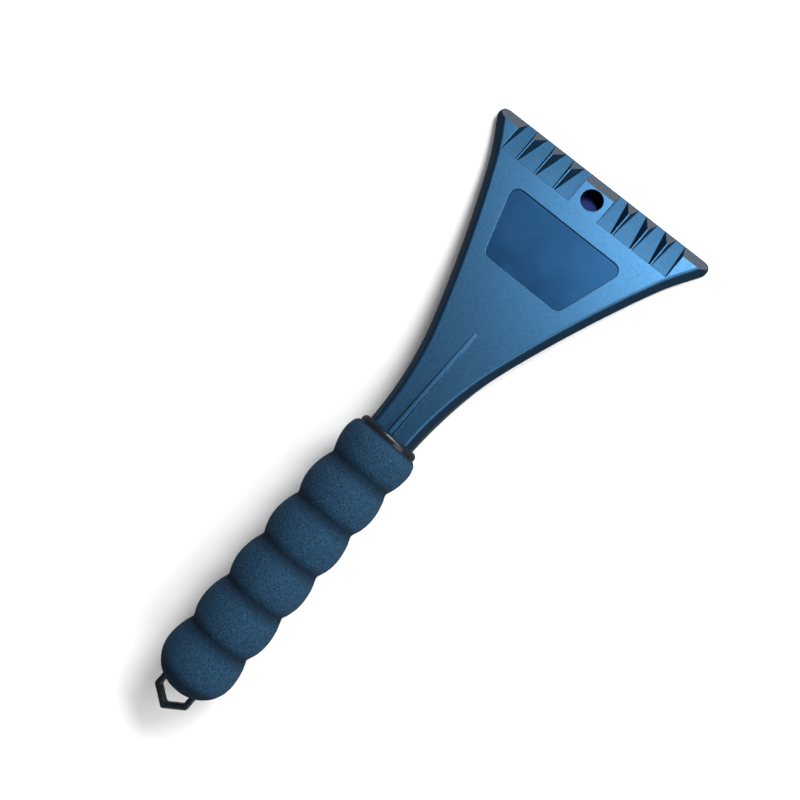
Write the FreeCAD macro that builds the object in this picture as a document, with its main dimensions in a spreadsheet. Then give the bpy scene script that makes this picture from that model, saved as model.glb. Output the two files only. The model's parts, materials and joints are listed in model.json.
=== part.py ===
"""Windshield ice scraper: a moulded head, a handle core with a hang loop, a foam sleeve and a label.

Lengths are millimetres. +X points to the blade, +Z up, and the scraper lies on z = 0 with its
teeth up, touching the surface with the swells of the grip and the lower edge of the blade.
The head is drawn in a frame of its own: x runs along the plate's top face from the collar to
the blade, z is normal to that face, and the finished head is tipped down by head_bend.
"""
import FreeCAD, Part
import math
import os
import Sketcher

V = FreeCAD.Vector
doc = FreeCAD.newDocument("IceScraper")

# ---------------------------------------------------------------- driving dimensions
SIZES = [
    # whole object
    ("collar_x", 0.92, "collar face from the middle of the overall length"),
    ("axis_height", 16.1, "handle axis above the surface it lies on"),
    ("head_bend", 7.2, "degrees that the head tips down from the handle axis"),
    ("plate_rise", 7.85, "plate top above the handle axis at the collar"),
    # foam grip
    ("grip_radius", 16.1, "radius at the crown of each swell"),
    ("valley_radius", 13.5, "radius in the valleys between swells"),
    ("swell_pitch", 21.1, "crown to crown"),
    ("first_crown", 9.1, "collar face to the first crown"),
    ("crown_lean", 0.9, "how far each crown but the first sits behind the middle of its swell"),
    ("front_radius", 14.5, "radius of the foam's front face"),
    ("dome_depth", 14.0, "last crown to the end of the foam"),
    ("bore_radius", 10.0, "bore of the sleeve"),
    ("end_gap", 0.3, "gap between the core's end and the end of the bore"),
    # handle core
    ("flange_radius", 13.4, "collar flange"),
    ("flange_thick", 3.0, "collar flange"),
    ("flange_round", 2.0, "rounding of the flange's front edge"),
    ("core_radius", 9.9, "core inside the foam"),
    ("core_length", 119.5, "collar face to the end of the core"),
    ("socket_radius", 7.0, "socket for the head's spigot"),
    ("socket_depth", 36.0, "socket for the head's spigot"),
    # hang loop
    ("loop_half_width", 8.3, "half of the loop's outer width"),
    ("loop_thick", 4.0, "thickness of the loop's bar"),
    ("loop_bar", 2.45, "width of the loop's bar"),
    ("loop_inner_start", 127.2, "collar face to the start of the loop's opening"),
    ("loop_shoulder", 133.7, "collar face to the loop's shoulders"),
    ("loop_tip", 139.5, "collar face to the loop's tip"),
    ("loop_clear", 0.15, "gap between the loop's stem and the foam"),
    ("loop_root", 2.0, "how far the loop's stem is rooted in the core"),
    ("loop_corner", 1.2, "rounding of the loop's outer and inner corners"),
    ("loop_rim", 0.8, "rounding of the loop's rims"),
    # head plan
    ("neck_half", 10.3, "half width of the neck at the collar"),
    ("neck_arc", 155.0, "radius of the neck's flare"),
    ("flank_start", 47.4, "end of the neck's flare"),
    ("flank_arc", 620.0, "radius of the long flank"),
    ("flank_end", 114.0, "end of the long flank"),
    ("flare_end", 126.0, "end of the last flare before the corner"),
    ("blade_half", 54.9, "half of the head's greatest width"),
    ("blade_reach", 139.2, "collar to blade edge, along the plate"),
    ("corner_round", 3.9, "plan rounding of the blade's corners"),
    ("corner_lean", 31.0, "degrees that the flank leans out where it meets the corner"),
    ("neck_overrun", 8.0, "how far the plan runs behind the collar before its end is cut"),
    # head section
    ("plate_thick", 6.6, "plate, from top face to flat back"),
    ("side_upright", 2.0, "height of the upright lower part of the sides"),
    ("side_draft", 27.0, "degrees that the sides lean in above that"),
    ("rim_round", 1.7, "rounding of the plate's top edge"),
    ("back_round", 0.4, "rounding of the back edges"),
    ("neck_depth", 15.9, "neck height at the collar"),
    ("back_curve_start", 8.0, "where the neck's back starts to rise"),
    ("back_curve_end", 54.0, "where the neck's back has run out into the plate"),
    ("spare", 20.0, "how far the outlines of cut-away waste reach past the plastic"),
    # blade and teeth
    ("land", 1.0, "thickness of the blade's edge"),
    ("bevel_start", 132.6, "top edge of the front bevel"),
    ("bevel_end", 139.2, "lower edge of the front bevel"),
    ("step_line", 120.9, "where the notches start"),
    ("step_drop", 0.9, "small upright drop at the start of each notch"),
    ("step_run", 0.4, "length of that drop along the plate"),
    ("tooth_inner", 15.3, "ridge of the innermost tooth"),
    ("tooth_pitch", 9.85, "ridge to ridge"),
    ("tooth_in_slope", 0.67, "spread of a tooth's inner side per unit of depth"),
    ("tooth_out_slope", 0.3, "spread of a tooth's outer side per unit of depth"),
    ("ridge_half", 0.25, "half width of a tooth's ridge"),
    ("platform_half", 7.4, "half width of the middle platform"),
    ("gusset_inner", 43.0, "inner edge of the corner gussets"),
    ("gusset_slope", 0.28, "spread of a gusset's inner side per unit of depth"),
    ("root_sink", 0.3, "how far above the flat back the teeth are rooted"),
    ("weld", 0.5, "overlap that joins added plastic to what it stands on"),
    # hole, window, fin, back
    ("hole_x", 127.3, "centre of the hole in the platform"),
    ("hole_radius", 4.85, "hole in the platform"),
    ("hole_depth", 5.4, "hole in the platform"),
    ("window_front", 112.2, "front edge of the window"),
    ("window_rear", 80.5, "rear edge of the window"),
    ("window_front_half", 29.0, "half width of the window's front edge"),
    ("window_rear_half", 19.1, "half width of the window's rear edge"),
    ("window_round", 3.9, "corner radius of the window"),
    ("window_depth", 0.7, "depth of the window's recess"),
    ("label_thick", 0.3, "thickness of the label in the window"),
    ("label_gap", 0.25, "gap round the label"),
    ("fin_tip", 52.5, "collar to the fin's front tip"),
    ("fin_rise", 2.88, "height of the fin just behind the collar"),
    ("fin_tip_rise", 0.25, "height of the fin at its tip"),
    ("fin_root_half", 1.75, "half width of the fin's root at the collar"),
    ("fin_tip_half", 0.95, "half width of the fin's root at its tip"),
    ("fin_crest_half", 0.75, "half width of the fin's crest"),
    ("fin_sink", 1.0, "how far the fin is rooted in the plate"),
    ("fin_start", 1.5, "how far the fin reaches behind the collar before it is cut"),
    ("spigot_radius", 6.9, "spigot in the handle core"),
    ("spigot_length", 34.0, "spigot in the handle core"),
    ("relief_depth", 1.2, "depth of the relief in the back"),
    ("relief_front", 118.0, "front edge of the relief"),
    ("relief_rear", 62.0, "rear edge of the relief"),
    ("relief_front_half", 34.0, "half width of the relief's front edge"),
    ("relief_rear_half", 13.5, "half width of the relief's rear edge"),
    ("spigot_root", 3.0, "how far the spigot is rooted in the neck"),
]
SWELLS = 6
TEETH_PER_SIDE = 3

sheet = doc.addObject("Spreadsheet::Sheet", "Sizes")
for row, (alias, value, note) in enumerate(SIZES, start=1):
    sheet.set("A%d" % row, alias)
    sheet.set("B%d" % row, str(value))
    sheet.setAlias("B%d" % row, alias)
    sheet.set("C%d" % row, note)
doc.recompute()


def size(alias):
    """Return a driving dimension as a number."""
    return float(getattr(sheet, alias))


def linked(expression):
    """Prefix every driving dimension in an expression with the sheet's name."""
    for alias, _, _ in sorted(SIZES, key=lambda entry: -len(entry[0])):
        expression = expression.replace("{%s}" % alias, "Sizes." + alias)
    return expression


def number(expression):
    """Evaluate an expression of driving dimensions."""
    return float(sheet.evalExpression(linked(expression).replace("Sizes.", "")))


def bind(thing, prop, expression):
    thing.setExpression(prop, linked(expression))


# ---------------------------------------------------------------- sketch helpers
def new_body(name):
    body = doc.addObject("PartDesign::Body", name)
    body.Label = name
    return body


def origin_plane(body, role):
    return next(item for item in body.Origin.OriginFeatures if item.Role == role)


def new_sketch(body, name, role, lift=None):
    """Start a sketch on one of the body's planes, lifted along the plane's normal."""
    sketch = body.newObject("Sketcher::SketchObject", name)
    sketch.AttachmentSupport = [(origin_plane(body, role), "")]
    sketch.MapMode = "FlatFace"
    if lift is not None:
        bind(sketch, "AttachmentOffset.Base.z", lift)
    doc.recompute()
    return sketch


def pin_point(sketch, geometry, end, x, y):
    """Hold one end of a sketch curve at expressions for x and y."""
    for kind, expression in (("DistanceX", x), ("DistanceY", y)):
        index = sketch.addConstraint(
            Sketcher.Constraint(kind, -1, 1, geometry, end, number(expression)))
        bind(sketch, "Constraints[%d]" % index, expression)


def polygon(sketch, corners):
    """Draw a closed polygon whose corners are pairs of expressions."""
    points = [V(number(x), number(y), 0) for x, y in corners]
    count = len(points)
    first = sketch.GeometryCount
    for k in range(count):
        sketch.addGeometry(Part.LineSegment(points[k], points[(k + 1) % count]), False)
    for k in range(count):
        after = first + (k + 1) % count
        sketch.addConstraint(Sketcher.Constraint("Coincident", first + k, 2, after, 1))
    for k, (x, y) in enumerate(corners):
        pin_point(sketch, first + k, 1, x, y)


def edges_where(feature, test):
    """Name the edges of a feature whose middle point passes a test."""
    names = []
    for index, edge in enumerate(feature.Shape.Edges, start=1):
        middle = edge.valueAt(0.5 * (edge.FirstParameter + edge.LastParameter))
        if test(edge, middle):
            names.append("Edge%d" % index)
    return names


def round_edges(body, name, feature, radius, test):
    doc.recompute()
    fillet = body.newObject("PartDesign::Fillet", name)
    fillet.Base = (feature, edges_where(feature, test))
    fillet.Radius = number(radius)
    bind(fillet, "Radius", radius)
    doc.recompute()
    return fillet


def pad(body, name, sketch, length, back=False, both=False):
    feature = body.newObject("PartDesign::Pad", name)
    feature.Profile = sketch
    bind(feature, "Length", length)
    feature.Reversed = back
    feature.Midplane = both
    return feature


def pocket(body, name, sketch, length, back=False, both=False):
    """Cut a sketch out of a body, and stop if nothing was cut."""
    doc.recompute()
    before = body.Shape.Volume
    feature = body.newObject("PartDesign::Pocket", name)
    feature.Profile = sketch
    bind(feature, "Length", length)
    feature.Reversed = back
    feature.Midplane = both
    doc.recompute()
    if body.Shape.Volume > before - 1.0:
        raise RuntimeError(name + " cuts nothing")
    return feature


# ---------------------------------------------------------------- scraper head
def half_outline():
    """Work out one flank of the plan: the joints of its curves, and the centres of its arcs."""
    neck, flank, radius = size("neck_arc"), size("flank_arc"), size("corner_round")
    lean = math.radians(size("corner_lean"))
    start = V(0, size("neck_half"), 0)
    neck_centre = start + V(0, neck, 0)
    bend = math.asin(size("flank_start") / neck)
    first = neck_centre + V(math.sin(bend), -math.cos(bend), 0) * neck
    flank_centre = first + V(-math.sin(bend), math.cos(bend), 0) * flank
    turn = math.asin((size("flank_end") - flank_centre.x) / flank)
    second = flank_centre + V(math.sin(turn), -math.cos(turn), 0) * flank
    hub = V(size("blade_reach") - radius, size("blade_half") - radius, 0)
    corner = hub + V(-math.sin(lean), math.cos(lean), 0) * radius
    straight = (corner.x - size("flare_end")) / math.cos(lean)
    third = corner - V(math.cos(lean), math.sin(lean), 0) * straight
    flare = (third - second).Length / (2 * math.sin(0.5 * (lean - turn)))
    flare_centre = third + V(-math.sin(lean), math.cos(lean), 0) * flare
    return (start, first, second, third, corner), (neck_centre, flank_centre, flare_centre, hub)


def arc_between(centre, start, end):
    """Arc about a centre that runs counter-clockwise from start to end."""
    angles = [math.atan2(p.y - centre.y, p.x - centre.x) for p in (start, end)]
    radius = (start - centre).Length
    return Part.ArcOfCircle(Part.Circle(centre, V(0, 0, 1), radius), angles[0], angles[1])


def draw_flank(sketch, side):
    """Draw one flank, from behind the collar to the blade's corner, and tie it to the sizes."""
    (start, first, second, third, corner), centres = half_outline()
    neck_centre, flank_centre, flare_centre, hub = centres
    back = "-1 * {neck_overrun}"

    def at(point):
        return V(point.x, side * point.y, 0)

    def arc(centre, begin, end):
        if side > 0:
            return arc_between(at(centre), at(begin), at(end))
        return arc_between(at(centre), at(end), at(begin))

    tip = V(size("blade_reach"), hub.y, 0)
    head, tail = (1, 2) if side > 0 else (2, 1)
    base = sketch.GeometryCount
    sketch.addGeometry(Part.LineSegment(V(number(back), side * start.y, 0), at(start)), False)
    sketch.addGeometry(arc(neck_centre, start, first), False)
    sketch.addGeometry(arc(flank_centre, first, second), False)
    sketch.addGeometry(arc(flare_centre, second, third), False)
    sketch.addGeometry(Part.LineSegment(at(third), at(corner)), False)
    sketch.addGeometry(arc(hub, tip, corner), False)
    rule = Sketcher.Constraint
    sketch.addConstraint(rule("Tangent", base, 2, base + 1, head))
    sketch.addConstraint(rule("Tangent", base + 1, tail, base + 2, head))
    sketch.addConstraint(rule("Tangent", base + 2, tail, base + 3, head))
    sketch.addConstraint(rule("Tangent", base + 3, tail, base + 4, 1))
    sketch.addConstraint(rule("Tangent", base + 4, 2, base + 5, tail))
    sketch.addConstraint(rule("Horizontal", base))
    sign = "" if side > 0 else "-1 * "
    pin_point(sketch, base, 1, back, sign + "{neck_half}")
    for geometry, expression in ((base + 1, "{neck_arc}"), (base + 2, "{flank_arc}"),
                                 (base + 5, "{corner_round}")):
        index = sketch.addConstraint(rule("Radius", geometry, number(expression)))
        bind(sketch, "Constraints[%d]" % index, expression)
    for geometry, end, expression in ((base, 2, "0"), (base + 1, tail, "{flank_start}"),
                                      (base + 2, tail, "{flank_end}"), (base + 4, 1, "{flare_end}")):
        index = sketch.addConstraint(rule("DistanceX", -1, 1, geometry, end, number(expression)))
        bind(sketch, "Constraints[%d]" % index, expression)
    pin_point(sketch, base + 5, 3, "{blade_reach} - {corner_round}",
              sign + "({blade_half} - {corner_round})")
    return base, base + 5


def draw_outline(sketch):
    """Draw the whole plan of the head: two flanks, the blade's edge and a line behind the collar."""
    left_back, left_tip = draw_flank(sketch, 1)
    right_back, right_tip = draw_flank(sketch, -1)
    front = V(size("blade_reach"), size("blade_half") - size("corner_round"), 0)
    rear = V(-size("neck_overrun"), size("neck_half"), 0)
    edge = sketch.addGeometry(Part.LineSegment(front, V(front.x, -front.y, 0)), False)
    sketch.addConstraint(Sketcher.Constraint("Coincident", left_tip, 1, edge, 1))
    sketch.addConstraint(Sketcher.Constraint("Coincident", right_tip, 2, edge, 2))
    sketch.addConstraint(Sketcher.Constraint("Vertical", edge))
    index = sketch.addConstraint(
        Sketcher.Constraint("DistanceX", -1, 1, edge, 1, number("{blade_reach}")))
    bind(sketch, "Constraints[%d]" % index, "{blade_reach}")
    close = sketch.addGeometry(Part.LineSegment(V(rear.x, -rear.y, 0), rear), False)
    sketch.addConstraint(Sketcher.Constraint("Coincident", right_back, 1, close, 1))
    sketch.addConstraint(Sketcher.Constraint("Coincident", left_back, 1, close, 2))


def head_blank(body):
    """Plate with leaning sides and a rounded top rim, on a deeper block that the neck is cut from."""
    outline = new_sketch(body, "head_outline", "XY_Plane", "{side_upright} - {plate_thick}")
    draw_outline(outline)
    doc.recompute()
    plate = pad(body, "plate", outline, "{plate_thick} - {side_upright}")
    bind(plate, "TaperAngle", "-1 * {side_draft}")
    doc.recompute()
    rim = round_edges(
        body, "plate_rim", plate, "{rim_round}",
        lambda edge, middle: abs(middle.z) < 0.01 and middle.x > -size("neck_overrun") / 2)
    pad(body, "neck_block", outline, "{neck_depth} - {plate_thick} + 2 * {side_upright}", back=True)
    doc.recompute()
    return rim


def head_fin(body):
    """Stiffening fin on the neck: it grows from nothing in front to full height at the collar."""
    sections = []
    for name, lift, root_half, rise in (
            ("fin_back", "-1 * {fin_start}", "{fin_root_half}", "{fin_rise}"),
            ("fin_front", "{fin_tip}", "{fin_tip_half}", "{fin_tip_rise}")):
        section = new_sketch(body, name, "YZ_Plane", lift)
        polygon(section, [("-1 * " + root_half, "-1 * {fin_sink}"), (root_half, "-1 * {fin_sink}"),
                          ("{fin_crest_half}", rise), ("-1 * {fin_crest_half}", rise)])
        sections.append(section)
    fin = body.newObject("PartDesign::AdditiveLoft", "fin")
    fin.Profile = sections[0]
    fin.Sections = [sections[1]]
    fin.Ruled = True
    doc.recompute()
    return fin


def draw_neck_back(sketch):
    """Outline of the waste behind the neck: an S of two equal arcs, then the plate's flat back."""
    start = V(size("back_curve_start"), -size("neck_depth"), 0)
    end = V(size("back_curve_end"), -size("plate_thick"), 0)
    run, rise = end.x - start.x, end.y - start.y
    radius = (run * run + rise * rise) / (4 * rise)
    middle = (start + end) * 0.5
    front, rear, deep = "{blade_reach} + {spare}", "-1 * {spare}", "-1 * {neck_depth} - {spare}"
    corners = [(rear, "-1 * {neck_depth}"), ("{back_curve_start}", "-1 * {neck_depth}"),
               ("{back_curve_end}", "-1 * {plate_thick}"), (front, "-1 * {plate_thick}"),
               (front, deep), (rear, deep)]
    points = [V(number(x), number(y), 0) for x, y in corners]
    rule = Sketcher.Constraint
    sketch.addGeometry(Part.LineSegment(points[0], start), False)
    sketch.addGeometry(arc_between(start + V(0, radius, 0), start, middle), False)
    sketch.addGeometry(arc_between(end - V(0, radius, 0), end, middle), False)
    sketch.addGeometry(Part.LineSegment(end, points[3]), False)
    sketch.addGeometry(Part.LineSegment(points[3], points[4]), False)
    sketch.addGeometry(Part.LineSegment(points[4], points[5]), False)
    sketch.addGeometry(Part.LineSegment(points[5], points[0]), False)
    sketch.addConstraint(rule("Tangent", 0, 2, 1, 1))
    sketch.addConstraint(rule("Tangent", 1, 2, 2, 2))
    sketch.addConstraint(rule("Tangent", 2, 1, 3, 1))
    sketch.addConstraint(rule("Equal", 1, 2))
    for geometry in (3, 4, 5):
        sketch.addConstraint(rule("Coincident", geometry, 2, geometry + 1, 1))
    sketch.addConstraint(rule("Coincident", 6, 2, 0, 1))
    for geometry, end_index in ((0, 0), (4, 3), (5, 4), (6, 5)):
        pin_point(sketch, geometry, 1, *corners[end_index])
    pin_point(sketch, 0, 2, *corners[1])
    pin_point(sketch, 3, 1, *corners[2])


def cut_side_profile(body):
    """Cut the neck's upright end at the collar, and its back as it runs out into the flat plate."""
    lean = "tan({head_bend} * 1deg)"
    end = new_sketch(body, "collar_end", "XZ_Plane")
    low = "({neck_depth} + {spare})"
    polygon(end, [("-1 * {spare} * " + lean, "{spare}"), (low + " * " + lean, "-1 * " + low),
                  ("-2 * {spare}", "-1 * " + low), ("-2 * {spare}", "{spare}")])
    pocket(body, "collar_cut", end, "2 * {blade_half}", both=True)
    back = new_sketch(body, "neck_back", "XZ_Plane")
    draw_neck_back(back)
    cut = pocket(body, "neck_back_cut", back, "2 * ({blade_half} + {spare})", both=True)
    half = size("neck_half") - 1

    def lower_side_edge(edge, middle):
        low = middle.z < -size("plate_thick") + 0.01
        beside = abs(middle.y) > half
        lengthwise = abs(edge.BoundBox.XLength) > 6 and edge.BoundBox.YLength > -1
        return low and beside and lengthwise and middle.x < size("blade_reach") - 1

    return round_edges(body, "back_rim", cut, "{back_round}", lower_side_edge)


def cut_notches(body):
    """Cut the sloping floors on both sides of the platform, then stand the teeth on them."""
    for name, side in (("left_floor", 1), ("right_floor", -1)):
        sketch = new_sketch(body, name, "XZ_Plane", "%d * {platform_half}" % -side)
        polygon(sketch, [("{step_line}", "0"), ("{step_line} + {step_run}", "-1 * {step_drop}"),
                         ("{bevel_end}", "-1 * {plate_thick} + {land}"),
                         ("{bevel_end} + {spare}", "-1 * {plate_thick} + {land}"),
                         ("{bevel_end} + {spare}", "{spare}"), ("{step_line}", "{spare}")])
        pocket(body, name + "_cut", sketch, "{gusset_inner} - {platform_half}", back=side < 0)
    teeth = new_sketch(body, "teeth_section", "YZ_Plane", "{step_line}")
    depth = "({plate_thick} - {root_sink})"
    for side in ("1", "-1"):
        for k in range(TEETH_PER_SIDE):
            ridge = "({tooth_inner} + %d * {tooth_pitch})" % k
            polygon(teeth, [
                ("%s * (%s - {ridge_half})" % (side, ridge), "0"),
                ("%s * (%s - {ridge_half} - {tooth_in_slope} * %s)" % (side, ridge, depth),
                 "-1 * " + depth),
                ("%s * (%s + {ridge_half} + {tooth_out_slope} * %s)" % (side, ridge, depth),
                 "-1 * " + depth),
                ("%s * (%s + {ridge_half})" % (side, ridge), "0")])
        polygon(teeth, [
            ("%s * {gusset_inner}" % side, "0"),
            ("%s * ({gusset_inner} - {gusset_slope} * %s)" % (side, depth), "-1 * " + depth),
            ("%s * ({gusset_inner} + {weld})" % side, "-1 * " + depth),
            ("%s * ({gusset_inner} + {weld})" % side, "0")])
    pad(body, "teeth", teeth, "{bevel_end} - {step_line}")
    doc.recompute()


def cut_bevel(body):
    """Bevel the platform, the teeth and the gussets down to the blade's edge in one plane."""
    sketch = new_sketch(body, "bevel_waste", "XZ_Plane")
    edge = "-1 * {plate_thick} + {land}"
    polygon(sketch, [("{bevel_start}", "0"), ("{bevel_end}", edge), ("{bevel_end} + {spare}", edge),
                     ("{bevel_end} + {spare}", "{spare}"), ("{bevel_start}", "{spare}")])
    pocket(body, "front_bevel", sketch, "2 * ({blade_half} + {spare})", both=True)


def window_corners(grow):
    """Corners of the window, moved outward by an expression."""
    return [("{window_front} + " + grow, "{window_front_half} + " + grow),
            ("{window_rear} - " + grow, "{window_rear_half} + " + grow),
            ("{window_rear} - " + grow, "-1 * {window_rear_half} - " + grow),
            ("{window_front} + " + grow, "-1 * {window_front_half} - " + grow)]


def window_edge(edge, middle):
    inside_x = size("window_rear") - 1 < middle.x < size("window_front") + 1
    upright = edge.BoundBox.ZLength > 0.2 and edge.BoundBox.XLength < 0.1
    corner = abs(abs(middle.y) - size("window_rear_half")) < 1 or \
        abs(abs(middle.y) - size("window_front_half")) < 1
    return inside_x and upright and corner


def cut_details(body):
    """Cut the window's recess, the hole in the platform and the relief in the back."""
    window = new_sketch(body, "window_outline", "XY_Plane")
    polygon(window, window_corners("0"))
    recess = pocket(body, "window_recess", window, "{window_depth}")
    round_edges(body, "window_corners", recess, "{window_round}", window_edge)
    hole = new_sketch(body, "hole_circle", "XY_Plane")
    circle = hole.addGeometry(
        Part.Circle(V(size("hole_x"), 0, 0), V(0, 0, 1), size("hole_radius")), False)
    pin_point(hole, circle, 3, "{hole_x}", "0")
    index = hole.addConstraint(
        Sketcher.Constraint("Radius", circle, size("hole_radius")))
    bind(hole, "Constraints[%d]" % index, "{hole_radius}")
    pocket(body, "hole", hole, "{hole_depth}")
    relief = new_sketch(body, "relief_outline", "XY_Plane", "-1 * {plate_thick}")
    polygon(relief, [("{relief_front}", "{relief_front_half}"), ("{relief_rear}", "{relief_rear_half}"),
                     ("{relief_rear}", "-1 * {relief_rear_half}"),
                     ("{relief_front}", "-1 * {relief_front_half}")])
    pocket(body, "back_relief", relief, "{relief_depth}", back=True)


def add_spigot(body):
    """Round spigot on the neck's end, along the handle's axis, which leans in the head's frame."""
    sketch = new_sketch(body, "spigot_half", "XZ_Plane")
    cos, sin = "cos({head_bend} * 1deg)", "sin({head_bend} * 1deg)"

    def point(along, out):
        """A point in the head's side view: along the handle's axis from the collar, and out from it."""
        x = "((%s) * %s + (%s - {plate_rise}) * -1 * %s)" % (along, cos, out, sin)
        y = "((%s) * %s + (%s - {plate_rise}) * %s)" % (along, sin, out, cos)
        return x, y

    polygon(sketch, [point("{spigot_root}", "0"), point("-1 * {spigot_length}", "0"),
                     point("-1 * {spigot_length}", "{spigot_radius}"),
                     point("{spigot_root}", "{spigot_radius}")])
    turned = body.newObject("PartDesign::Revolution", "spigot")
    turned.Profile = sketch
    turned.ReferenceAxis = (sketch, ["Edge1"])
    turned.Angle = 360
    doc.recompute()


def make_head():
    body = new_body("scraper_head")
    head_blank(body)
    head_fin(body)
    cut_side_profile(body)
    cut_notches(body)
    cut_bevel(body)
    cut_details(body)
    add_spigot(body)
    return body


def make_label():
    """Thin blank gloss label that lies on the floor of the window."""
    body = new_body("label_panel")
    outline = new_sketch(body, "label_outline", "XY_Plane", "-1 * {window_depth}")
    polygon(outline, window_corners("-1 * {label_gap}"))
    doc.recompute()
    sheet_pad = pad(body, "label_sheet", outline, "{label_thick}")
    doc.recompute()
    round_edges(body, "label_corners", sheet_pad, "{window_round} - {label_gap}", window_edge)
    return body


# ---------------------------------------------------------------- handle
def make_core():
    """Handle core: collar flange, round core with the head's socket, and the hang loop."""
    body = new_body("handle_core")
    half = new_sketch(body, "core_half", "XZ_Plane")
    polygon(half, [("0", "{socket_radius}"), ("0", "{flange_radius}"),
                   ("-1 * {flange_thick}", "{flange_radius}"), ("-1 * {flange_thick}", "{core_radius}"),
                   ("-1 * {core_length}", "{core_radius}"), ("-1 * {core_length}", "0"),
                   ("-1 * {socket_depth}", "0"), ("-1 * {socket_depth}", "{socket_radius}")])
    turned = body.newObject("PartDesign::Revolution", "core")
    turned.Profile = half
    turned.ReferenceAxis = (half, ["H_Axis"])
    turned.Angle = 360
    doc.recompute()
    round_edges(body, "flange_rim", turned, "{flange_round}",
                lambda edge, middle: edge.BoundBox.XLength < 0.1 and edge.BoundBox.XMax > -0.1
                and edge.BoundBox.YLength > 2 * size("flange_radius") - 0.5)
    add_loop(body)
    return body


def add_loop(body):
    """House-shaped hang loop: a flat stem from the core's end that opens into a pointed frame."""
    slope = "(({loop_tip} - {loop_shoulder}) / {loop_half_width})"
    skew = "sqrt(1 + %s * %s)" % (slope, slope)
    inner_half = "({loop_half_width} - {loop_bar})"
    inner_tip = "({loop_tip} - {loop_bar} * %s)" % skew
    outer = new_sketch(body, "loop_outer", "XY_Plane")
    polygon(outer, [("-1 * {core_length} + {loop_root}", "{loop_half_width}"),
                    ("-1 * {loop_shoulder}", "{loop_half_width}"), ("-1 * {loop_tip}", "0"),
                    ("-1 * {loop_shoulder}", "-1 * {loop_half_width}"),
                    ("-1 * {core_length} + {loop_root}", "-1 * {loop_half_width}")])
    doc.recompute()
    pad(body, "loop_frame", outer, "{loop_thick}", both=True)
    doc.recompute()
    inner = new_sketch(body, "loop_inner", "XY_Plane")
    shoulder = "(%s - %s * %s)" % (inner_tip, slope, inner_half)
    polygon(inner, [("-1 * {loop_inner_start}", inner_half), ("-1 * " + shoulder, inner_half),
                    ("-1 * " + inner_tip, "0"), ("-1 * " + shoulder, "-1 * " + inner_half),
                    ("-1 * {loop_inner_start}", "-1 * " + inner_half)])
    opening = pocket(body, "loop_opening", inner, "2 * {loop_thick}", both=True)

    def corner(edge, middle):
        upright = edge.BoundBox.ZLength > size("loop_thick") - 0.1 and edge.BoundBox.XLength < 0.01
        return upright and middle.x < -size("loop_inner_start") - 1 and edge.BoundBox.YLength < 0.01

    rounded = round_edges(body, "loop_corners", opening, "{loop_corner}", corner)

    def rim(edge, middle):
        flat = abs(abs(middle.z) - 0.5 * size("loop_thick")) < 0.01
        return flat and middle.x < -size("core_length") - 1

    return round_edges(body, "loop_rims", rounded, "{loop_rim}", rim)


def swell_chain():
    """Joints of the sleeve's outer profile, front to back, as pairs of expressions for x and y."""
    joints = [("-1 * {flange_thick}", "{front_radius}"), ("-1 * {first_crown}", "{grip_radius}")]
    for k in range(1, SWELLS):
        middle = "-1 * {first_crown} - %d * {swell_pitch}" % k
        joints.append((middle + " + 0.5 * {swell_pitch}", "{valley_radius}"))
        joints.append((middle + " - {crown_lean}", "{grip_radius}"))
    return joints


def draw_swells(sketch):
    """Half profile of the sleeve: front face, swells, domed end, and the blind bore inside."""
    joints = swell_chain()
    for index, (joint, after) in enumerate(zip(joints, joints[1:])):
        begin, end = (V(number(x), number(y), 0) for x, y in (joint, after))
        crown = end if end.y > begin.y else begin
        run, rise = end.x - begin.x, abs(end.y - begin.y)
        hub = crown - V(0, (run * run + rise * rise) / (2 * rise), 0)
        sketch.addGeometry(arc_between(hub, begin, end), False)
        pin_point(sketch, index, 1, *joint)
        over_hub = (index, 1 if crown is begin else 2, index, 3)
        sketch.addConstraint(Sketcher.Constraint("Vertical", *over_hub))
        if index:
            sketch.addConstraint(Sketcher.Constraint("Coincident", index - 1, 2, index, 1))
    last_x = joints[-1][0]
    dome_end = (last_x + " - {dome_depth}", "{grip_radius} - {dome_depth}")
    crown = V(number(last_x), size("grip_radius"), 0)
    tip = V(number(dome_end[0]), number(dome_end[1]), 0)
    dome = sketch.addGeometry(arc_between(crown - V(0, size("dome_depth"), 0), crown, tip), False)
    sketch.addConstraint(Sketcher.Constraint("Coincident", dome - 1, 2, dome, 1))
    pin_point(sketch, dome, 1, *joints[-1])
    pin_point(sketch, dome, 2, *dome_end)
    rule = sketch.addConstraint(Sketcher.Constraint("Radius", dome, size("dome_depth")))
    bind(sketch, "Constraints[%d]" % rule, "{dome_depth}")
    inner_end = "-1 * {core_length} - {end_gap}"
    chain = [(dome_end[0], "0"), (inner_end, "0"), (inner_end, "{bore_radius}"),
             ("-1 * {flange_thick}", "{bore_radius}"), joints[0]]
    point = tip
    for x, y in chain:
        after = V(number(x), number(y), 0)
        index = sketch.addGeometry(Part.LineSegment(point, after), False)
        sketch.addConstraint(Sketcher.Constraint("Coincident", index - 1, 2, index, 1))
        if (x, y) != joints[0]:
            pin_point(sketch, index, 2, x, y)
        point = after
    sketch.addConstraint(Sketcher.Constraint("Coincident", sketch.GeometryCount - 1, 2, 0, 1))


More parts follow.
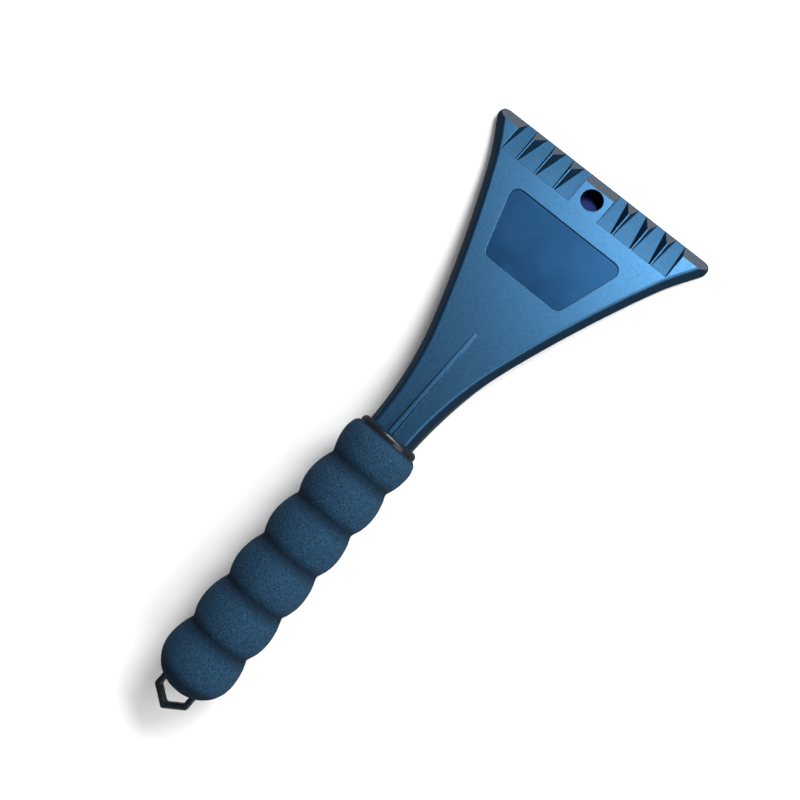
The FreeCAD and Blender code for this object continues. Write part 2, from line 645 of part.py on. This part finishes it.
def make_grip():
    """Foam sleeve: six round swells turned about the core, with a closed, domed, slotted end."""
    body = new_body("foam_grip")
    half = new_sketch(body, "grip_half", "XZ_Plane")
    draw_swells(half)
    turned = body.newObject("PartDesign::Revolution", "sleeve")
    turned.Profile = half
    turned.ReferenceAxis = (half, ["H_Axis"])
    turned.Angle = 360
    doc.recompute()
    slot = new_sketch(body, "loop_slot_outline", "XY_Plane")
    wide = "({loop_half_width} + {loop_clear})"
    polygon(slot, [("-1 * {core_length} + {weld}", wide), ("-1 * {loop_tip}", wide),
                   ("-1 * {loop_tip}", "-1 * " + wide), ("-1 * {core_length} + {weld}", "-1 * " + wide)])
    pocket(body, "loop_slot", slot, "{loop_thick} + 2 * {loop_clear}", both=True)
    return body


# ---------------------------------------------------------------- assembly
def place(body, rise, bend):
    """Put a body at the collar, at a height above the handle's axis, tipped by a bend in degrees."""
    body.Placement = FreeCAD.Placement(
        V(size("collar_x"), 0, size("axis_height") + number(rise)),
        FreeCAD.Rotation(V(0, 1, 0), number(bend)))
    bind(body, "Placement.Base.x", "{collar_x}")
    bind(body, "Placement.Base.z", "{axis_height} + " + rise)
    bind(body, "Placement.Rotation.Angle", bend)


parts = [make_head(), make_label(), make_core(), make_grip()]
for body in parts[:2]:
    place(body, "{plate_rise}", "{head_bend}")
for body in parts[2:]:
    place(body, "0", "0")
doc.recompute()

for item in doc.Objects:
    if "Invalid" in item.State or "Error" in item.State:
        raise RuntimeError("%s failed: %s" % (item.Name, item.State))
for body in parts:
    shape = body.Shape
    if shape.isNull() or not shape.isValid() or len(shape.Solids) != 1:
        raise RuntimeError(body.Label + " is not one sound solid")

os.makedirs("parts", exist_ok=True)
for body in parts:
    body.Shape.exportStep("parts/%s.step" % body.Label)
    box = body.Shape.optimalBoundingBox()
    print("%-14s %9.1f mm3  x %.2f..%.2f  y %.2f..%.2f  z %.2f..%.2f" % (
        body.Label, body.Shape.Volume, box.XMin, box.XMax, box.YMin, box.YMax, box.ZMin, box.ZMax))
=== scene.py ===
"""Looks of the windshield ice scraper: a satin blue head, a dark foam grip and a black hang loop.

Everything is in metres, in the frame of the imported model: +X to the blade, +Z up, floor at z = 0.
"""

import json
import math

import bmesh
import bpy
from mathutils import Matrix, Vector, noise


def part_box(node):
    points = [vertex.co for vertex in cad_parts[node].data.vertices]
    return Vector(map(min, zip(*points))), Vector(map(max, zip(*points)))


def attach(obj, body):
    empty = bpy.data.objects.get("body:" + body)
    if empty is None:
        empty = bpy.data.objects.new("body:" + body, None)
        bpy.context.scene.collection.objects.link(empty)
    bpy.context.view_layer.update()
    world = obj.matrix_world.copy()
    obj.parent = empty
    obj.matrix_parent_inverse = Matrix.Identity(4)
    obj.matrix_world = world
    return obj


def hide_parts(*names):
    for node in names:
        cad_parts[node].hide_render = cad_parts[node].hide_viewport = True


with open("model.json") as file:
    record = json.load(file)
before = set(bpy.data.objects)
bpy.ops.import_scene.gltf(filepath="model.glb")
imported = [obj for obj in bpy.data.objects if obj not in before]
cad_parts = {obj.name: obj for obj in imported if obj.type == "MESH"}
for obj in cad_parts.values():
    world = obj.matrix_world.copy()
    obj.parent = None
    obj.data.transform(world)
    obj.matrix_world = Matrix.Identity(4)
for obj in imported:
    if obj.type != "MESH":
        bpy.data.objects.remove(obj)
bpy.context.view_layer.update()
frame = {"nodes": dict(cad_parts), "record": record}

MM = 0.001

# Where things are, read from the frame
CORE_LOW, CORE_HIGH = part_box("handle_core")
GRIP_LOW, GRIP_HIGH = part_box("foam_grip")
COLLAR_X = CORE_HIGH.x
AXIS = Vector((COLLAR_X, 0.0, (GRIP_LOW.z + GRIP_HIGH.z) / 2))

# Slope of the front bevel against the plate, in degrees
BEVEL_SLOPE = 40.3

# How far the head's sharp edges are softened in shading
EDGE_RADIUS = 0.35 * MM

# The hole in the platform, and the directions of the plate that it is cut in
HOLE = next(mount for mount in frame["record"]["mounts"] if mount["name"] == "platform_hole")
PLATE_UP = Vector(HOLE["axis"]).normalized()
PLATE_ALONG = Vector((PLATE_UP.z, 0, -PLATE_UP.x))

# Foam sleeve: the same swells as the solid it stands for
SWELLS = 6
GRIP_RADIUS = (GRIP_HIGH.z - GRIP_LOW.z) / 2
VALLEY_RADIUS = 13.5 * MM
SWELL_PITCH = 21.1 * MM
FIRST_CROWN = 9.1 * MM
CROWN_LEAN = 0.9 * MM
FRONT_START = COLLAR_X - GRIP_HIGH.x
FRONT_RADIUS = 14.5 * MM
FRONT_ROUND = 1.0 * MM
BORE_RADIUS = 10.0 * MM
BORE_END = 119.8 * MM
DOME_DEPTH = 14.0 * MM
CREASE = 0.9 * MM
SHADE_LOW, SHADE_HIGH = 0.3 * MM, 1.8 * MM
SKIN_DEPTH = 0.16 * MM
AROUND = 300
ALONG_STEP = 0.34 * MM
CORNER_STEPS = 6
DOME_STEPS = 60
STEM_SLOT = (8.45 * MM, 2.15 * MM)

# Stage
FLOOR_HALF = 4.0
WORLD_STRENGTH = 0.185
CAMERA_PLACE = Vector((-2.77, -39.66, 394.94)) * MM
CAMERA_LENS = 45.0
CAMERA_SENSOR = 36.0


# ---------------------------------------------------------------- node helpers
def new_material(name):
    """Start a material and return it with its nodes, links and shader."""
    material = bpy.data.materials.new(name)
    material.use_nodes = True
    nodes = material.node_tree.nodes
    return material, nodes, material.node_tree.links, nodes["Principled BSDF"]


def add_node(nodes, kind, **values):
    """Add a node, and set its properties or, where there is none of that name, its sockets."""
    node = nodes.new(kind)
    for key, value in values.items():
        if hasattr(node, key):
            setattr(node, key, value)
        else:
            node.inputs[key.replace("_", " ")].default_value = value
    return node


def noise_node(nodes, links, scale, detail=3.0, roughness=0.55):
    """Noise in object space, so it sits still on the surface. Scale is in cells per metre."""
    place = add_node(nodes, "ShaderNodeTexCoord")
    grain = add_node(nodes, "ShaderNodeTexNoise", Scale=scale, Detail=detail, Roughness=roughness)
    links.new(place.outputs["Object"], grain.inputs["Vector"])
    return grain


def mix_colours(nodes, links, factor, low, high):
    """Blend two colours, each a value or a socket, by a factor socket. Return the colour socket."""
    mix = add_node(nodes, "ShaderNodeMix", data_type="RGBA")
    links.new(factor, mix.inputs["Factor"])
    colours = [socket for socket in mix.inputs if socket.type == "RGBA"]
    for socket, colour in zip(colours, (low, high)):
        if isinstance(colour, tuple):
            socket.default_value = (*colour, 1)
        else:
            links.new(colour, socket)
    return next(socket for socket in mix.outputs if socket.type == "RGBA")


def vector_math(nodes, links, operation, first, second, result="Value"):
    """Combine a vector socket with another socket or a fixed vector."""
    node = add_node(nodes, "ShaderNodeVectorMath", operation=operation)
    links.new(first, node.inputs[0])
    if second is not None and hasattr(second, "is_linked"):
        links.new(second, node.inputs[1])
    elif second is not None:
        node.inputs[1].default_value = second
    return node.outputs[result]


def multiply(nodes, links, first, second):
    """Multiply two value sockets."""
    node = add_node(nodes, "ShaderNodeMath", operation="MULTIPLY")
    links.new(first, node.inputs[0])
    links.new(second, node.inputs[1])
    return node.outputs[0]


def spread(nodes, links, socket, low, high, out_low, out_high):
    """Map a value's range onto another."""
    node = add_node(nodes, "ShaderNodeMapRange")
    links.new(socket, node.inputs["Value"])
    for name, value in (("From Min", low), ("From Max", high),
                        ("To Min", out_low), ("To Max", out_high)):
        node.inputs[name].default_value = value
    return node.outputs["Result"]


def bump(nodes, links, shader, height, strength, distance, base=None):
    """Roughen the surface by a height socket, on top of a rounded normal if one is given."""
    node = add_node(nodes, "ShaderNodeBump", Strength=strength, Distance=distance)
    links.new(height, node.inputs["Height"])
    if base is not None:
        links.new(base, node.inputs["Normal"])
    links.new(node.outputs["Normal"], shader.inputs["Normal"])


def rounded_edges(nodes, links, radius):
    """Soften the sharp edges. Return the rounded normal and a socket that is 1 along an edge."""
    soft = add_node(nodes, "ShaderNodeBevel", Radius=radius)
    soft.samples = 6
    surface = add_node(nodes, "ShaderNodeNewGeometry")
    facing = vector_math(nodes, links, "DOT_PRODUCT", soft.outputs["Normal"],
                         surface.outputs["Normal"])
    return soft.outputs["Normal"], spread(nodes, links, facing, 0.985, 0.90, 0.0, 1.0)


# ---------------------------------------------------------------- materials
def painted_hole_shade_mask(nodes, links):
    """1 on the wall and the floor of the platform's hole, where painted shade goes, 0 elsewhere."""
    radius, length = (HOLE["dims"][key] * MM for key in ("r_mm", "length_mm"))
    place = add_node(nodes, "ShaderNodeTexCoord").outputs["Object"]
    offset = vector_math(nodes, links, "SUBTRACT", place, Vector(HOLE["pos_m"]), "Vector")
    across = vector_math(nodes, links, "CROSS_PRODUCT", offset, PLATE_UP, "Vector")
    away = vector_math(nodes, links, "LENGTH", across, None)
    height = vector_math(nodes, links, "DOT_PRODUCT", offset, PLATE_UP)
    # The mask fades just outside the wall, just under the rim and just below the floor
    inside = spread(nodes, links, away, radius * 1.01, radius * 1.02, 1.0, 0.0)
    below = spread(nodes, links, height, length * 0.42, length * 0.49, 1.0, 0.0)
    above = spread(nodes, links, height, -length * 0.56, -length * 0.52, 0.0, 1.0)
    return multiply(nodes, links, multiply(nodes, links, inside, below), above)


def bevel_mask(nodes, links):
    """1 on the faces of the front bevel, 0 elsewhere."""
    slope = math.radians(BEVEL_SLOPE)
    normal = PLATE_ALONG * math.sin(slope) + PLATE_UP * math.cos(slope)
    surface = add_node(nodes, "ShaderNodeNewGeometry").outputs["Normal"]
    facing = vector_math(nodes, links, "DOT_PRODUCT", surface, normal)
    return spread(nodes, links, facing, 0.985, 0.995, 0.0, 1.0)


def head_plastic():
    """Blue moulded plastic with metallic pigment, satin and worn along its edges, with a painted
    reflection in grey patches on its front bevel and painted shade inside the platform's hole.
    """
    material, nodes, links, shader = new_material("head_plastic")
    pigment = noise_node(nodes, links, 900.0, detail=2.0)
    blue = mix_colours(nodes, links, pigment.outputs["Fac"],
                       (0.011, 0.046, 0.095), (0.022, 0.078, 0.156))
    normal, edge = rounded_edges(nodes, links, EDGE_RADIUS)
    rub = noise_node(nodes, links, 260.0, detail=5.0, roughness=0.65)
    patchy = spread(nodes, links, rub.outputs["Fac"], 0.42, 0.62, 0.15, 0.75)
    worn = mix_colours(nodes, links, multiply(nodes, links, edge, patchy),
                       blue, (0.065, 0.150, 0.250))
    # Painted reflection: the front bevel is painted grey in noisy patches, and made matt and not
    # metallic there.
    bevel_patch_noise = noise_node(nodes, links, 700.0, detail=5.0, roughness=0.7)
    bevel_patches = spread(nodes, links, bevel_patch_noise.outputs["Fac"], 0.30, 0.70, 0.45, 0.95)
    bevel_reflection_and_matt = multiply(nodes, links, bevel_mask(nodes, links), bevel_patches)
    painted_bevel_reflection = mix_colours(nodes, links, bevel_reflection_and_matt, worn, (0.033, 0.036, 0.039))
    # Painted shade: the inside of the platform's hole is painted near-black.
    hole = painted_hole_shade_mask(nodes, links)
    links.new(mix_colours(nodes, links, hole, painted_bevel_reflection, (0.0002, 0.004, 0.028)),
              shader.inputs["Base Color"])
    links.new(spread(nodes, links, bevel_reflection_and_matt, 0.0, 0.7, 0.9, 0.0), shader.inputs["Metallic"])
    grain = noise_node(nodes, links, 1500.0, detail=2.0)
    satin = spread(nodes, links, grain.outputs["Fac"], 0.3, 0.7, 0.34, 0.42)
    links.new(mix_colours(nodes, links, bevel_reflection_and_matt, satin, (0.95, 0.95, 0.95)),
              shader.inputs["Roughness"])
    bump(nodes, links, shader, grain.outputs["Fac"], 0.10, 0.05 * MM, base=normal)
    return material


def label_gloss():
    """Darker blue film with a faint cloudiness."""
    material, nodes, links, shader = new_material("label_gloss")
    cloud = noise_node(nodes, links, 65.0, detail=5.0)
    colour = mix_colours(nodes, links, spread(nodes, links, cloud.outputs["Fac"], 0.3, 0.7, 0.0, 1.0),
                         (0.003, 0.020, 0.052), (0.006, 0.031, 0.076))
    links.new(colour, shader.inputs["Base Color"])
    shader.inputs["Metallic"].default_value = 0.95
    links.new(spread(nodes, links, cloud.outputs["Fac"], 0.3, 0.7, 0.36, 0.44),
              shader.inputs["Roughness"])
    bump(nodes, links, shader, cloud.outputs["Fac"], 0.06, 0.4 * MM)
    return material


def core_plastic():
    """Black semi-gloss plastic."""
    material, nodes, links, shader = new_material("core_plastic")
    grain = noise_node(nodes, links, 1200.0, detail=2.0)
    colour = mix_colours(nodes, links, grain.outputs["Fac"],
                         (0.004, 0.007, 0.012), (0.008, 0.013, 0.020))
    links.new(colour, shader.inputs["Base Color"])
    links.new(spread(nodes, links, grain.outputs["Fac"], 0.3, 0.7, 0.20, 0.30),
              shader.inputs["Roughness"])
    shader.inputs["Specular IOR Level"].default_value = 0.3
    bump(nodes, links, shader, grain.outputs["Fac"], 0.04, 0.05 * MM)
    return material


def grip_foam():
    """Matt closed-cell foam: very dark blue, with lighter cell walls and dark pores, and painted shade
    near the valleys between the swells.
    """
    material, nodes, links, shader = new_material("grip_foam")
    place = add_node(nodes, "ShaderNodeTexCoord")
    cells = add_node(nodes, "ShaderNodeTexVoronoi", Scale=1300.0, feature="F1")
    links.new(place.outputs["Object"], cells.inputs["Vector"])
    fine = noise_node(nodes, links, 1500.0, detail=4.0, roughness=0.7)
    speckle = spread(nodes, links, fine.outputs["Fac"], 0.35, 0.68, 0.0, 1.0)
    skin = mix_colours(nodes, links, speckle, (0.003, 0.016, 0.035), (0.019, 0.062, 0.117))
    offset = vector_math(nodes, links, "SUBTRACT", place.outputs["Object"], AXIS, "Vector")
    across = vector_math(nodes, links, "CROSS_PRODUCT", offset, Vector((1, 0, 0)), "Vector")
    radius = vector_math(nodes, links, "LENGTH", across, None)
    # Painted shade: the foam is painted darker close to the valleys between the swells.
    painted_crease_shade = spread(nodes, links, radius,
                    VALLEY_RADIUS + SHADE_LOW, VALLEY_RADIUS + SHADE_HIGH, 0.7, 0.0)
    links.new(mix_colours(nodes, links, painted_crease_shade, skin, (0.001, 0.004, 0.010)),
              shader.inputs["Base Color"])
    shader.inputs["Roughness"].default_value = 0.9
    shader.inputs["Specular IOR Level"].default_value = 0.12
    bump(nodes, links, shader, cells.outputs["Distance"], 0.45, 0.28 * MM)
    return material


# ---------------------------------------------------------------- foam sleeve
def swell_joints():
    """Crowns and valleys, front to back, as pairs of distance behind the collar and radius."""
    joints = [(FRONT_START, FRONT_RADIUS), (FIRST_CROWN, GRIP_RADIUS)]
    for k in range(1, SWELLS):
        middle = FIRST_CROWN + k * SWELL_PITCH
        joints.append((middle - SWELL_PITCH / 2, VALLEY_RADIUS))
        joints.append((middle + CROWN_LEAN, GRIP_RADIUS))
    return joints


def swell_radius(back, joints):
    """Radius of the sleeve at a distance behind the collar: arcs level at each crown, soft creases."""
    (begin, low), (end, high) = next(
        pair for pair in zip(joints, joints[1:]) if back <= pair[1][0] or pair[1] is joints[-1])
    crown, valley = (end, begin) if high > low else (begin, end)
    run, rise = end - begin, abs(high - low)
    arc = (run * run + rise * rise) / (2 * rise)
    radius = GRIP_RADIUS - arc + math.sqrt(max(arc * arc - (back - crown) ** 2, 0.0))
    off = abs(back - valley)
    if valley != FRONT_START and off < CREASE:
        radius += (CREASE - off) ** 2 * math.tan(math.asin(run / arc)) / (2 * CREASE)
    return radius


def sleeve_profile():
    """Closed half profile as (distance behind the collar, radius), from the bore round to the tip."""
    joints = swell_joints()
    last_crown = joints[-1][0]
    points = [(BORE_END, 0.0), (BORE_END, BORE_RADIUS), (FRONT_START, BORE_RADIUS)]
    for k in range(CORNER_STEPS):
        turn = k * math.pi / 2 / CORNER_STEPS
        points.append((FRONT_START + FRONT_ROUND * (1 - math.cos(turn)),
                       FRONT_RADIUS - FRONT_ROUND * (1 - math.sin(turn))))
    front = FRONT_START + FRONT_ROUND
    count = round((last_crown - front) / ALONG_STEP)
    for k in range(count + 1):
        back = front + (last_crown - front) * k / count
        points.append((back, swell_radius(back, joints)))
    for k in range(1, DOME_STEPS + 1):
        turn = k * math.pi / 2 / DOME_STEPS
        points.append((last_crown + DOME_DEPTH * math.sin(turn),
                       GRIP_RADIUS - DOME_DEPTH * (1 - math.cos(turn))))
    points.append((last_crown + DOME_DEPTH, 0.0))
    return points


def foam_skin(point):
    """Height of the foam's uneven skin at a point, from 0 for the deepest pore to 1."""
    coarse = noise.noise(point * 420.0)
    cells = noise.noise(point * 1150.0)
    return 0.5 + 0.28 * coarse + 0.42 * cells


def build_sleeve():
    """Turn the profile round the handle's axis and roughen its outer skin."""
    profile = sleeve_profile()
    outer_start = 3
    vertices, faces = [], []
    rings = []
    for back, radius in profile:
        if radius < 1e-9:
            rings.append([len(vertices)])
            vertices.append(AXIS + Vector((-back, 0, 0)))
            continue
        ring = []
        for k in range(AROUND):
            turn = 2 * math.pi * k / AROUND
            point = AXIS + Vector((-back, radius * math.cos(turn), radius * math.sin(turn)))
            ring.append(len(vertices))
            vertices.append(point)
        rings.append(ring)
    for first, second in zip(rings, rings[1:]):
        for k in range(AROUND):
            after = (k + 1) % AROUND
            if len(first) == 1:
                faces.append((first[0], second[k], second[after]))
            elif len(second) == 1:
                faces.append((first[k], second[0], first[after]))
            else:
                faces.append((first[k], second[k], second[after], first[after]))
    mesh = bpy.data.meshes.new("foam_sleeve")
    mesh.from_pydata(vertices, [], faces)
    mesh.validate()
    normals = [v.normal.copy() for v in mesh.vertices]
    outer = {i for ring in rings[outer_start:-1] for i in ring}
    for vertex in mesh.vertices:
        if vertex.index in outer:
            depth = SKIN_DEPTH * (1 - min(max(foam_skin(vertex.co), 0.0), 1.0))
            out = Vector((0, vertex.co.y - AXIS.y, vertex.co.z - AXIS.z))
            normal = normals[vertex.index]
            if normal.dot(out) < 0:
                normal = -normal
            vertex.co -= normal * depth
    mesh.polygons.foreach_set("use_smooth", [True] * len(mesh.polygons))
    sleeve = bpy.data.objects.new("foam_sleeve", mesh)
    bpy.context.collection.objects.link(sleeve)
    cut_stem_slot(sleeve)
    return sleeve


def cut_stem_slot(sleeve):
    """Open the closed end where the hang loop's flat stem comes through."""
    half_width, half_height = STEM_SLOT
    cutter_mesh = bpy.data.meshes.new("stem_slot")
    shape = bmesh.new()
    bmesh.ops.create_cube(shape, size=2.0)
    front, rear = BORE_END - 1 * MM, BORE_END + 2 * DOME_DEPTH
    for vertex in shape.verts:
        vertex.co = AXIS + Vector((-(front + rear) / 2 + vertex.co.x * (rear - front) / 2,
                                   vertex.co.y * half_width, vertex.co.z * half_height))
    shape.to_mesh(cutter_mesh)
    shape.free()
    cutter = bpy.data.objects.new("stem_slot", cutter_mesh)
    bpy.context.collection.objects.link(cutter)
    opening = sleeve.modifiers.new("stem_slot", "BOOLEAN")
    opening.object = cutter
    opening.operation = "DIFFERENCE"
    opening.solver = "EXACT"
    bpy.context.view_layer.update()
    cut = bpy.data.meshes.new_from_object(sleeve.evaluated_get(bpy.context.evaluated_depsgraph_get()))
    sleeve.modifiers.clear()
    sleeve.data = cut
    bpy.data.objects.remove(cutter)


# ---------------------------------------------------------------- stage
def build_floor():
    """Plain white floor, far larger than the view, and left out of glossy reflections."""
    half = FLOOR_HALF
    mesh = bpy.data.meshes.new("floor")
    mesh.from_pydata([(-half, -half, 0), (half, -half, 0), (half, half, 0), (-half, half, 0)],
                     [], [(0, 1, 2, 3)])
    floor = bpy.data.objects.new("floor", mesh)
    bpy.context.collection.objects.link(floor)
    material, _, _, shader = new_material("floor_white")
    shader.inputs["Base Color"].default_value = (0.93, 0.93, 0.93, 1)
    shader.inputs["Roughness"].default_value = 0.9
    shader.inputs["Specular IOR Level"].default_value = 0.1
    mesh.materials.append(material)
    floor.visible_glossy = False


def softbox(name, target, direction, distance, width, height, power):
    """Area light that faces a target from a direction."""
    data = bpy.data.lights.new(name, "AREA")
    data.shape = "RECTANGLE"
    data.size, data.size_y = width, height
    data.energy = power
    light = bpy.data.objects.new(name, data)
    toward = Vector(direction).normalized()
    light.location = Vector(target) + toward * distance
    light.rotation_mode = "QUATERNION"
    light.rotation_quaternion = toward.to_track_quat("Z", "Y")
    bpy.context.collection.objects.link(light)
    return light


def build_camera():
    """Camera above the handle, a little to the right, rolled so that the blade points up and right."""
    right = Vector((0.64567, -0.76233, -0.06354))
    up = Vector((0.76398, 0.63836, 0.10434))
    back = right.cross(up).normalized()
    right = up.cross(back).normalized()
    data = bpy.data.cameras.new("camera")
    data.lens = CAMERA_LENS
    data.sensor_width = CAMERA_SENSOR
    data.clip_start, data.clip_end = 0.01, 50.0
    camera = bpy.data.objects.new("camera", data)
    camera.rotation_mode = "QUATERNION"
    camera.rotation_quaternion = Matrix((right, up, back)).transposed().to_quaternion()
    camera.location = AXIS + CAMERA_PLACE
    bpy.context.collection.objects.link(camera)
    bpy.context.scene.camera = camera


# ---------------------------------------------------------------- put together
FINISHES = {"scraper_head": head_plastic(), "label_panel": label_gloss(),
            "handle_core": core_plastic()}
for node, finish in FINISHES.items():
    slots = frame["nodes"][node].material_slots
    for entry in slots:
        entry.material = finish

sleeve = build_sleeve()
sleeve.data.materials.append(grip_foam())
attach(sleeve, "root")
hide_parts("foam_grip")

build_floor()
blade = Vector((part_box("scraper_head")[1].x, 0, 0))
middle = Vector((0, 0, AXIS.z))
softbox("key", blade, (0.60, -0.17, 0.78), 0.8, 0.46, 0.25, 8.2)
softbox("front", blade, (0.743, 0.0, 0.669), 0.9, 0.4, 0.3, 2.9)
softbox("front_right", blade, (0.372, -0.644, 0.669), 0.9, 0.4, 0.3, 3.3)
softbox("side", middle, (-0.12, -0.78, 0.61), 1.5, 1.0, 1.0, 10.5)
softbox("tail", middle, (-0.74, -0.30, 0.60), 1.1, 0.5, 0.5, 2.2)
world = bpy.data.worlds.new("studio")
world.use_nodes = True
world.node_tree.nodes["Background"].inputs["Color"].default_value = (1, 1, 1, 1)
world.node_tree.nodes["Background"].inputs["Strength"].default_value = WORLD_STRENGTH
bpy.context.scene.world = world
bpy.context.scene.view_settings.view_transform = "Standard"
build_camera()
